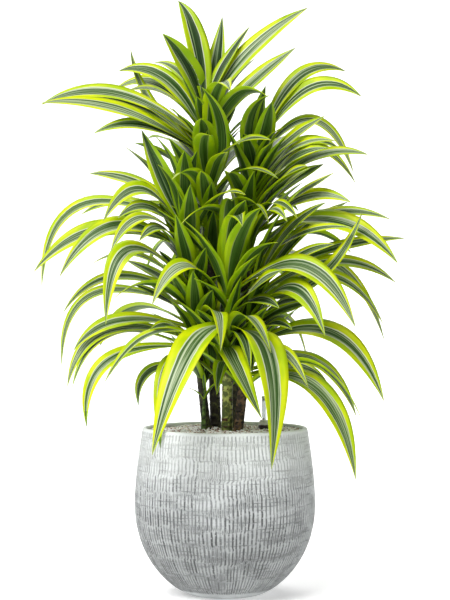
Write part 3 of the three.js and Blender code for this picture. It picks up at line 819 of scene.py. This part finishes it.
    def grow(self, mesh: BMesh, blade: Blade, seed: int) -> None:
        """Adds one blade as a thin closed leaf.

        Args:
            mesh: the bmesh that takes the leaf.
            blade: the leaf's place and form.
            seed: its number, for tone, margins and waves.
        """
        uv = mesh.loops.layers.uv["blade"]
        tone = mesh.verts.layers.float["tone"]
        margin = mesh.verts.layers.float["margin"]
        light_share = mesh.verts.layers.float["painted_light_share"]
        held = len(mesh.faces)
        sheet = bmesh.ops.create_grid(mesh, x_segments=self.shape.columns, y_segments=self.shape.rows,
                                      size=1.0)
        verts = sheet["verts"]
        flat = {vert: ((vert.co.x + 1) / 2, (vert.co.y + 1) / 2) for vert in verts}
        mesh.faces.ensure_lookup_table()
        upper = mesh.faces[held:]
        for face in upper:
            face.smooth = True
            for loop in face.loops:
                loop[uv].uv = flat[loop.vert]
        for vert in verts:
            u, v = flat[vert]
            vert.co = blade.surface(2 * u - 1, v, seed) * MM
            vert[tone] = spread(seed, 3)
            # Painted light share: long outer leaves take the lit colours, short inner ones the painted
            # shade.
            vert[light_share] = smooth(blade.row[2], 90.0, 220.0) * (0.7 + 0.3 * spread(seed, 5))
            vert[margin] = 0.44 + 0.16 * spread(seed, 7)
        bmesh.ops.solidify(mesh, geom=upper, thickness=self.shape.blade * MM)
        mesh.faces.ensure_lookup_table()
        leaf = mesh.faces[held:]
        bmesh.ops.reverse_faces(mesh, faces=leaf)
        for face in leaf:
            face.smooth = True
            face.normal_update()
            if face.normal.dot(blade.axes(face.loops[0][uv].uv.y)[1]) < -0.2:
                face.material_index = 1


BROWN_CANE = CaneFinish("bark_brown", (0.022, 0.017, 0.010), (0.005, 0.004, 0.003), (0.075, 0.078, 0.026))
RUSTY_CANE = CaneFinish("bark_rusty", (0.022, 0.012, 0.005), (0.007, 0.004, 0.003), (0.15, 0.085, 0.040))
GREEN_CANE = CaneFinish("bark_green", (0.095, 0.125, 0.024), (0.080, 0.026, 0.012), (0.42, 0.46, 0.11))
SHOOT_CANE = CaneFinish("bark_shoot", (0.06, 0.12, 0.02), (0.03, 0.05, 0.012), (0.15, 0.24, 0.05))

# One row for each leaf that shows from the front. Most rows began as values that a separate program worked
# out from places read off the photograph. They were then rounded and partly changed.
CANES = [
    Cane("cane_tall", (-18, 62), (-39, 17, 932), 11, 0.3, BROWN_CANE,
         Ring(22, 30, 875, 265), Ring(16, 200, 860, 240),
         (Ring(40, 77, 830, 430), Ring(16, -50, 865, 230, 7.0, 55), Ring(12, -80, 850, 160, 7.0, 60),
          Ring(14, 150, 800, 170, 6.0, 125)), [
        (890, -150, 95, 1075, 40, 60, 100), (915, 145, 75, 1155, 85, 46, 40),
        (895, 60, 65, 1125, 0, 48, 0, 0, 0.9), (855, 165, 155, 1060, -15, 28, 40, 0, 0.6),
        (925, 25, 90, 1100, 0, 32, -45), (920, 5, 200, 1135, 50, 44, -75),
        (890, -10, 175, 1050, 15, 46, -70), (855, -75, 180, 950, 130, 46, -20),
        (850, -50, 160, 945, 130, 44, 20), (770, -95, 110, 965, 45, 34, 10, 60),
        (785, -95, 120, 905, 60, 50, 0), (830, 20, 60, 940, 10, 36, -60),
        (830, -150, 135, 935, 25, 32, 50), (855, -130, 110, 930, 20, 28, 35),
        (865, 180, 320, 945, 125, 38, 75), (845, -170, 320, 940, 80, 36, 70),
        (840, 170, 240, 960, 90, 38, 75), (835, -160, 220, 885, 100, 34, 65),
        (885, 155, 215, 980, 125, 32, 65), (875, 165, 175, 1015, 110, 42, 70),
        (910, 145, 140, 1040, 55, 28, 40), (875, -145, 175, 960, 80, 30, 45),
        (815, -45, 170, 865, 55, 28, -45), (760, -75, 145, 840, 55, 38, -15),
        (710, -95, 145, 805, 45, 38, 10), (895, -95, 80, 950, 15, 26, 0),
    ]),
    Cane("cane_right", (12, 52), (65, 29, 862), 10, 0.3, BROWN_CANE,
         Ring(20, 10, 825, 270), Ring(16, 250, 800, 250),
         (Ring(32, 40, 770, 390), Ring(16, 130, 830, 190, 7.0, 55),
          Ring(12, 200, 815, 170, 7.0, 60)), [
        (855, 10, 175, 1015, 135, 36, -70), (855, -5, 200, 960, 150, 42, -75),
        (835, 5, 190, 815, 180, 32, -65), (805, -30, 150, 915, 25, 42, -65),
        (770, -60, 130, 880, 25, 30, -30), (805, -75, 145, 865, 35, 28, -45),
        (775, -55, 30, 980, 30, 46, 0), (795, -85, 90, 955, 75, 38, -20, -40),
        (640, -15, 280, 720, 100, 30, -65), (690, -20, 300, 635, 105, 46, -70),
        (615, -35, 240, 700, 70, 28, -60), (585, -5, 310, 685, 60, 30, -70),
        (670, -30, 220, 750, 100, 40, -65), (710, -55, 180, 815, 55, 44, -50),
        (690, -45, 160, 815, 35, 42, -40), (730, -40, 185, 850, 80, 40, -60),
        (750, -20, 225, 845, 105, 34, -65), (775, 5, 170, 860, 110, 30, -65),
        (760, -5, 200, 795, 155, 30, -65), (730, 0, 140, 830, 25, 38, -65),
        (750, -60, 110, 890, 80, 30, -30), (770, -35, 185, 865, 80, 30, -60),
        (660, -70, 200, 710, 100, 28, -40), (700, -35, 190, 805, 30, 36, -50),
        (600, 0, 285, 485, 160, 34, -65), (735, -130, 75, 890, 10, 42, 20),
    ]),
    Cane("cane_left", (-36, 46), (-83, 3, 755), 9, 0.85, BROWN_CANE,
         Ring(18, 20, 705, 245), Ring(16, 300, 700, 230),
         (Ring(24, 10, 620, 250),), [
        (700, 175, 85, 895, 0, 44, 95, 0, 0.4), (750, -135, 75, 880, 30, 34, 30),
        (730, 165, 200, 815, 50, 32, 60), (680, -150, 170, 715, 160, 42, 60),
        (710, 175, 280, 590, 185, 34, 65), (700, 160, 220, 735, 80, 28, 65),
        (660, -175, 295, 620, 120, 44, 75, 0, -0.1), (650, -160, 255, 610, 150, 42, 70, 0, -0.1),
        (670, -135, 195, 655, 115, 34, 45), (660, -150, 150, 720, 85, 36, 60),
        (640, -125, 155, 675, 95, 36, 40), (585, -140, 205, 520, 210, 46, 55, 0, 0.1),
        (565, 170, 260, 540, 115, 28, 65), (545, 175, 260, 435, 165, 28, 65, 0, 0.05),
        (565, 145, 165, 645, 20, 28, 40), (505, -165, 240, 470, 75, 36, 65),
        (480, -160, 255, 400, 130, 34, 65), (470, -155, 230, 325, 95, 34, 60),
        (430, -175, 120, 360, 60, 32, 50), (565, -135, 110, 715, 55, 38, 30),
        (565, -115, 65, 775, 40, 38, 10), (670, -120, 105, 820, 35, 38, 25),
        (625, -85, 125, 780, 25, 42, -10), (595, -105, 135, 725, 20, 42, 20),
        (690, -90, 100, 845, 45, 40, -10), (545, -125, 140, 650, 20, 38, 40),
        (525, -115, 135, 635, 15, 38, 25), (525, -145, 140, 595, 15, 34, 50),
        (495, -95, 130, 620, 20, 38, 10), (660, -65, 180, 760, 75, 34, -25),
        (480, -125, 150, 510, 40, 34, 40), (470, -120, 105, 565, 25, 34, 20),
        (450, -115, 165, 290, 115, 42, 20),
    ]),
    Cane("cane_front", (4, 6), (6, -26, 600), 11, 0.3, GREEN_CANE,
         Ring(10, 50, 585, 130), Ring(14, 250, 590, 150),
         (Ring(12, 90, 500, 110),), [
        (510, -120, 270, 290, 130, 68, 10, 50), (500, -72, 250, 265, 150, 68, 10, 40),
        (465, -70, 180, 350, 95, 54, 10, -70), (490, -85, 135, 435, 70, 30, 0),
        (535, -140, 195, 555, 160, 42, 45), (565, -30, 270, 515, 175, 50, -65),
        (515, -50, 165, 620, 40, 52, -60), (565, -80, 150, 700, 160, 46, -20),
        (585, -85, 85, 750, 130, 38, 0), (565, -65, 145, 735, 85, 50, -10),
        (555, -130, 130, 715, 40, 40, 25), (560, -60, 110, 650, 20, 38, -25),
        (565, -65, 110, 750, 55, 56, 0), (540, -125, 110, 605, 35, 38, 25),
        (525, -45, 135, 550, 55, 40, -40), (440, -100, 115, 390, 50, 30, 0),
    ]),
    Cane("cane_low", (25, -12), (58, -7, 596), 10, 0.3, RUSTY_CANE,
         Ring(14, 0, 545, 155), Ring(14, 220, 580, 150),
         (Ring(12, 120, 500, 110),), [
        (565, -15, 215, 730, -70, 42, -65, 0, 0.3), (565, 5, 280, 600, 115, 36, -65),
        (545, 10, 260, 520, 160, 34, -65), (525, -35, 200, 500, 130, 48, -60),
        (470, -15, 265, 375, 155, 52, -65), (440, 5, 215, 340, 105, 34, -65),
        (425, -10, 160, 410, 55, 32, -60), (415, -30, 230, 230, 140, 52, -50),
        (480, 30, 140, 425, 150, 44, -40), (565, -20, 145, 750, 60, 40, -60),
        (550, 0, 185, 755, 60, 34, -60), (585, -40, 125, 780, 50, 40, -40),
        (565, -30, 175, 670, 50, 38, -60), (495, -40, 125, 565, 45, 38, -45),
        (480, -45, 115, 510, 50, 36, -35), (450, -85, 110, 430, 60, 28, -10),
        (505, -15, 120, 560, 25, 42, -50),
    ]),
    Cane("side_shoot", (-42, 25), (-40, 22, 395), 5, 0.3, SHOOT_CANE,
         Ring(0, 0, 395, 0), Ring(0, 0, 395, 0),
         (), [
        (385, -140, 5, 435, 0, 12, 0), (370, -150, 35, 395, 10, 10, 10), (370, -50, 45, 410, 10, 10, -10),
    ]),
]


# ---- the planter and its filling -------------------------


@dataclass
class Planter:
    """The ribbed pot, turned and then grooved in rings of uneven strokes."""

    height: float = 320.0
    foot: float = 66.0
    belly: float = 174.0
    belly_height: float = 178.0
    rim: float = 158.5
    wall: float = 10.5
    base: float = 16.0
    lip: float = 4.5
    band: Pair = (12.0, 316.0)
    grooves: int = 140
    columns: int = 4
    depth: float = 1.1
    rows: int = 118
    stroke: float = 31.0
    blocks: int = 23
    pitch: float = 7.0
    inner_heights: tuple[float, ...] = (270.0, 200.0, 130.0, 80.0, 40.0)

    def radius(self, z: float) -> float:
        """Returns the outer radius at a height: a full belly, drawn in a little at the rim."""
        if z < self.belly_height:
            down = (self.belly_height - z) / self.belly_height
            return self.foot + (self.belly - self.foot) * (1 - down ** 2.2) ** 0.7
        up = (z - self.belly_height) / (self.height - self.belly_height)
        return self.belly - (self.belly - self.rim) * up ** 1.6

    def outline(self) -> Profile:
        """Returns the turned outline from the underside to the inner floor, in millimetres."""
        middle = self.height - self.lip
        points = [(0.0, 0.0), (self.foot - 2.0, 0.0)]
        for k in range(self.rows + 1):
            share = k / self.rows
            z = 1.0 + (middle - 1.0) * (share - 0.35 * share * (1 - share) * (1 - share))
            points.append((self.radius(z), z))
        for degrees in range(20, 180, 20):
            turn = radians(degrees)
            points.append((self.radius(middle) - self.lip * (1 - cos(turn)),
                           middle + self.lip * sin(turn)))
        for z in (middle, *self.inner_heights, self.base):
            points.append((self.radius(z) - self.wall + (1.5 if z == middle else 0.0), z))
        points.append((0.0, self.base))
        return points

    def ring(self, turn: float, z: float) -> float:
        """Returns the height counted in rings of strokes, whose ends wander round the pot."""
        wander = round_noise(turn, 2.5, 0.3)
        block = self.blocks * turn / tau + 0.6 * round_noise(turn, 1.0, z * 0.03)
        return z / self.stroke + 0.25 * wander + 0.5 * spread(floor(block) % self.blocks, 43)

    def offset(self, turn: float, z: float) -> float:
        """Returns how far, in grooves, the strokes stand sideways at a height."""
        ring = self.ring(turn, z)
        step = floor(ring)
        into = smooth(ring - step, 0.0, 0.05)
        shift = 0.45 * (spread(step - 1, 3) * (1 - into) + spread(step, 3) * into - 0.5)
        slow = round_noise(turn, 4.0, z * 0.004)
        quick = round_noise(turn, 24.0, z * 0.06)
        return shift + 0.55 * slow + 0.15 * quick

    def strength(self, groove: int, turn: float, z: float) -> float:
        """Returns how deep a groove is cut at a height, from 0 to 1: each stroke starts and stops."""
        ring = self.ring(turn, z) + 0.30 * (spread(groove, 11) - 0.5)
        step = floor(ring)
        into = ring - step
        ends = smooth(into, 0.0, 0.07) * smooth(1 - into, 0.0, 0.05 + 0.25 * spread(groove, step) ** 3)
        hand = 0.5 + 0.5 * spread(groove, step + 31)
        calm = 0.75 + 0.25 * spread(step, 17)
        return (0.3 + 0.7 * ends) * hand * calm

    def build(self) -> Piece:
        """Builds the pot as one closed piece."""
        steps = self.grooves * self.columns
        mesh = spun([(radius * MM, z * MM) for radius, z in self.outline()], steps)
        uv = mesh.loops.layers.uv.new("pot")
        stroke = mesh.verts.layers.float.new("stroke")
        band = mesh.verts.layers.float.new("band")
        columns = {}
        for vert in mesh.verts:
            z = vert.co.z / MM
            radius = hypot(vert.co.x, vert.co.y) / MM
            turn = atan2(vert.co.y, vert.co.x) % tau
            column = round(turn / tau * steps) % steps
            columns[vert] = column
            if radius < self.radius(min(z, self.height - self.lip)) - 2.0:
                continue
            inside = smooth(z, self.band[0], self.band[0] + 3) * smooth(-z, -self.band[1], -self.band[1] + 3)
            groove = (column + self.columns // 2) // self.columns % self.grooves
            cut = (0.5 + 0.5 * cos(tau * column / self.columns)) ** 1.4
            deep = self.strength(groove, turn, z)
            reach = (radius - self.depth * cut * inside * deep) * MM
            turned = turn + self.offset(turn, z) * inside * tau / self.grooves
            vert.co.x = reach * cos(turned)
            vert.co.y = reach * sin(turned)
            vert[stroke] = deep
            vert[band] = inside
        for face in mesh.faces:
            last = any(columns[vert] > 0.75 * steps for vert in face.verts)
            for loop in face.loops:
                column = columns[loop.vert] + (steps if last and columns[loop.vert] < 0.25 * steps else 0)
                loop[uv].uv = (column / self.columns, loop.vert.co.z / MM / self.pitch)
        return finish_piece(mesh, "planter_ribbed", [PotFinish().build()], PLANT_BODY, ("planter",))


@dataclass
class Granulate:
    """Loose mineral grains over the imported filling."""

    radius: float = 146.5
    count: int = 3600
    sizes: Pair = (1.9, 3.3)
    drop: float = 330.0
    lowest: float = 300.0

    def build(self, canes: list[Cane], gauge: "Gauge") -> Piece:
        """Strews the grains, clear of what stands in the filling.

        Args:
            canes: the canes that stand in it.
            gauge: the water gauge that stands in it.

        Returns:
            The grains as one piece.
        """
        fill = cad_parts["granulate"]
        fill.data.materials.clear()
        fill.data.materials.append(FILLING.build())
        ground = bmesh.new()
        ground.from_mesh(fill.data)
        tree = BVHTree.FromBMesh(ground)
        ground.free()
        kept_off = [(*cane.foot, cane.radius) for cane in canes] + [(*gauge.place, gauge.collar)]
        seats = []
        for k in range(self.count):
            ring = self.radius * sqrt((k + 0.5) / self.count)
            turn = k * GOLDEN_TURN
            x = ring * cos(turn) + 1.5 * (spread(k, 1) - 0.5)
            y = ring * sin(turn) + 1.5 * (spread(k, 2) - 0.5)
            size = self.sizes[0] + (self.sizes[1] - self.sizes[0]) * spread(k, 3) ** 1.5
            if any(hypot(x - a, y - b) < r + size + 0.5 for a, b, r in kept_off):
                continue
            hit = tree.ray_cast(Vector((x, y, self.drop)) * MM, Vector((0, 0, -1)))[0]
            if hit is None or hit.z < self.lowest * MM:
                continue
            seats.append((k, size, Vector((x, y, hit.z / MM + 0.35 * size + 1.2 * spread(k, 4)))))
        return finish_piece(self.strewn(seats), "granulate_grains", [GrainFinish().build()], PLANT_BODY)

    def strewn(self, seats: list[tuple[int, float, Vector]]) -> BMesh:
        """Makes one lumpy grain for each seat, with its own tone.

        Args:
            seats: each grain's number, size and place in millimetres.

        Returns:
            All the grains in one bmesh.
        """
        grain = bmesh.new()
        bmesh.ops.create_icosphere(grain, subdivisions=1, radius=MM)
        corners = len(grain.verts)
        data = bpy.data.meshes.new("grain")
        grain.to_mesh(data)
        grain.free()
        mesh = bmesh.new()
        tone = mesh.verts.layers.float.new("tone")
        for _ in seats:
            mesh.from_mesh(data)
        bpy.data.meshes.remove(data)
        mesh.verts.ensure_lookup_table()
        for number, (k, size, place) in enumerate(seats):
            turn = Matrix.Rotation(tau * spread(k, 5), 4, "Z")
            turn = turn @ Matrix.Rotation(tau * spread(k, 6), 4, "X")
            depth = size * (0.7 + 0.3 * spread(k, 7))
            squeeze = Matrix.Diagonal((size, depth, size * (0.6 + 0.4 * spread(k, 8)), 1.0))
            frame_of = Matrix.Translation(place * MM) @ turn @ squeeze
            for index in range(corners):
                vert = mesh.verts[corners * number + index]
                lump = 1.0 + 0.35 * (spread(k, 20 + index) - 0.5)
                vert.co = frame_of @ (vert.co * lump)
                vert[tone] = spread(k, 9)
        return mesh


# ---- the water gauge -------------------------------------


@dataclass
class Gauge:
    """A sleeve in the filling, a clear tube with its cap, and a float with a red rod.

    The heights are those of the sleeve's foot and seat, the rod's and the tube's top, and the
    lid's foot and shoulder, in millimetres.
    """

    place: Pair = (76.0, 43.0)
    foot: float = 44.0
    seat: float = 315.0
    rod_top: float = 335.0
    tube_top: float = 372.0
    lid_foot: float = 367.3
    shoulder: float = 375.4
    collar: float = 11.0
    steps: int = 48

    def part(self, name: str, profile: Profile, finish: PlainFinish,
             nodes: tuple[str, ...] = (), body: str = PLANT_BODY) -> Piece:
        """Turns one part of the gauge from its profile in millimetres."""
        mesh = spun([(radius * MM, z * MM) for radius, z in profile], self.steps,
                    (self.place[0] * MM, self.place[1] * MM))
        piece = finish_piece(mesh, name, [finish.build()], body, nodes)
        for edge in piece.data.edges:
            edge.use_edge_sharp = False
        piece.data.shade_smooth()
        piece.data.set_sharp_from_angle(angle=radians(32))
        return piece

    def bob(self) -> Profile:
        """Returns the outline of the float and its rod."""
        low, high = self.foot + 2.3, self.rod_top
        return [(0.0, low), (4.6, low), (5.6, low + 2), (5.6, low + 43), (1.5, low + 46), (1.5, high - 0.5),
                (1.0, high), (0.0, high)]

    def build(self) -> list[Piece]:
        """Builds every part of the gauge."""
        seat, foot, rim = self.seat, self.foot, self.collar
        sleeve = [(3.0, foot), (8.0, foot), (8.0, seat), (rim - 0.8, seat), (rim, seat + 0.8),
                  (rim, seat + 4.8), (rim - 0.8, seat + 6.0), (6.8, seat + 6.0), (6.8, foot + 2),
                  (3.0, foot + 2)]
        dome = [(2.2, seat + 6.1)]
        for k in range(9):
            turn = radians(10 * k)
            dome.append((5.4 + 4.6 * cos(turn) ** 0.8, seat + 6.1 + 9.8 * sin(turn)))
        dome += [(4.7, seat + 16.0), (4.7, seat + 12.2), (2.2, seat + 12.2)]
        low, high = seat + 12.3, self.tube_top
        tube = [(3.3, low), (4.3, low), (4.3, high - 0.4), (4.0, high), (3.6, high), (3.3, high - 0.4)]
        lid = [(0.0, self.lid_foot), (3.0, self.lid_foot), (3.0, high + 0.3), (4.7, high + 0.3),
               (4.7, self.shoulder)]
        for k in range(1, 5):
            turn = radians(22 * k)
            lid.append((3.2 + 1.5 * cos(turn), self.shoulder + 1.8 * sin(turn)))
        lid.append((0.0, self.shoulder + 1.8))
        return [
            self.part("gauge_collar", sleeve, GAUGE_RIM, ("gauge_sleeve",)),
            self.part("gauge_dome", dome, GAUGE_DOME),
            self.part("gauge_sight", tube, GAUGE_CLEAR, ("gauge_tube",)),
            self.part("gauge_lid", lid, GAUGE_CAP, ("gauge_cap",)),
            self.part("gauge_indicator", self.bob(), GAUGE_RED, ("gauge_float",), FLOAT_BODY),
        ]


# ---- the studio ------------------------------------------


@dataclass
class Studio:
    """A pale floor that runs up into a backdrop, soft lights and the photo's camera."""

    eye: tuple[float, float, float] = (0.0, -3.2, 0.565)
    lens: float = 99.5
    width: float = 16.0
    front: float = -9.0
    back: float = 4.0
    bend: float = 3.0
    height: float = 11.0
    sky: float = 0.26

    def ground(self) -> Piece:
        """Builds the floor and the backdrop as one curved sheet."""
        mesh = bmesh.new()
        path = [(self.front, 0.0), (self.back, 0.0)]
        for k in range(1, 13):
            turn = radians(7.5 * k)
            path.append((self.back + self.bend * sin(turn), self.bend - self.bend * cos(turn)))
        path.append((self.back + self.bend, self.height))
        points = [mesh.verts.new((-self.width / 2, y, z)) for y, z in path]
        edges = [mesh.edges.new(pair) for pair in zip(points, points[1:])]
        made = bmesh.ops.extrude_edge_only(mesh, edges=edges)
        moved = [item for item in made["geom"] if isinstance(item, bmesh.types.BMVert)]
        bmesh.ops.translate(mesh, verts=moved, vec=(self.width, 0.0, 0.0))
        bmesh.ops.recalc_face_normals(mesh, faces=mesh.faces[:])
        for face in mesh.faces:
            face.smooth = True
        data = bpy.data.meshes.new("floor")
        mesh.to_mesh(data)
        mesh.free()
        sheet = bpy.data.objects.new("floor", data)
        data.materials.append(PAPER.build())
        bpy.context.scene.collection.objects.link(sheet)
        return sheet

    def lamp(self, name: str, place: tuple[float, float, float], size: float, power: float,
             aim: tuple[float, float, float] = (0.0, 0.0, 0.45)) -> Piece:
        """Hangs one soft square light that looks at the aim."""
        light = bpy.data.lights.new(name, "AREA")
        light.size = size
        light.energy = power
        lamp = bpy.data.objects.new(name, light)
        lamp.location = place
        lamp.rotation_euler = (Vector(aim) - Vector(place)).to_track_quat("-Z", "Y").to_euler()
        bpy.context.scene.collection.objects.link(lamp)
        return lamp

    def build(self) -> None:
        """Sets the floor, the lights, the sky and the camera."""
        self.ground()
        self.lamp("key", (-1.5, -2.2, 3.2), 2.2, 160.0)
        self.lamp("fill", (2.6, -2.6, 1.6), 2.6, 8.0)
        self.lamp("back", (-0.5, 2.6, 3.4), 2.4, 30.0)
        self.lamp("wall", (0.0, 2.5, 4.6), 4.0, 280.0, (0.0, 7.0, 1.0))
        world = bpy.data.worlds.new("sky")
        world.use_nodes = True
        sky = world.node_tree.nodes["Background"]
        sky.inputs["Color"].default_value = (1.0, 1.0, 1.0, 1.0)
        sky.inputs["Strength"].default_value = self.sky
        bpy.context.scene.world = world
        bpy.context.scene.view_settings.view_transform = "Standard"
        data = bpy.data.cameras.new("camera")
        data.lens = self.lens
        data.clip_end = 100.0
        camera = bpy.data.objects.new("camera", data)
        camera.location = self.eye
        camera.rotation_euler = (pi / 2, 0.0, 0.0)
        bpy.context.scene.collection.objects.link(camera)
        bpy.context.scene.camera = camera


def main() -> None:
    """Builds the plant, its planter and gauge, and the studio."""
    logging.basicConfig(level=logging.INFO, format="%(name)s %(message)s")
    finishes = [UPPER_LEAF.build(), LOWER_LEAF.build()]
    thicket = Thicket()
    for cane in CANES:
        cane.settle(thicket)
    for cane in CANES:
        cane.thicken(thicket)
    for number, cane in enumerate(CANES):
        cane.build(number, finishes)
    gauge = Gauge()
    Planter().build()
    Granulate().build(CANES, gauge)
    gauge.build()
    Studio().build()


if __name__ == "__main__":
    main()
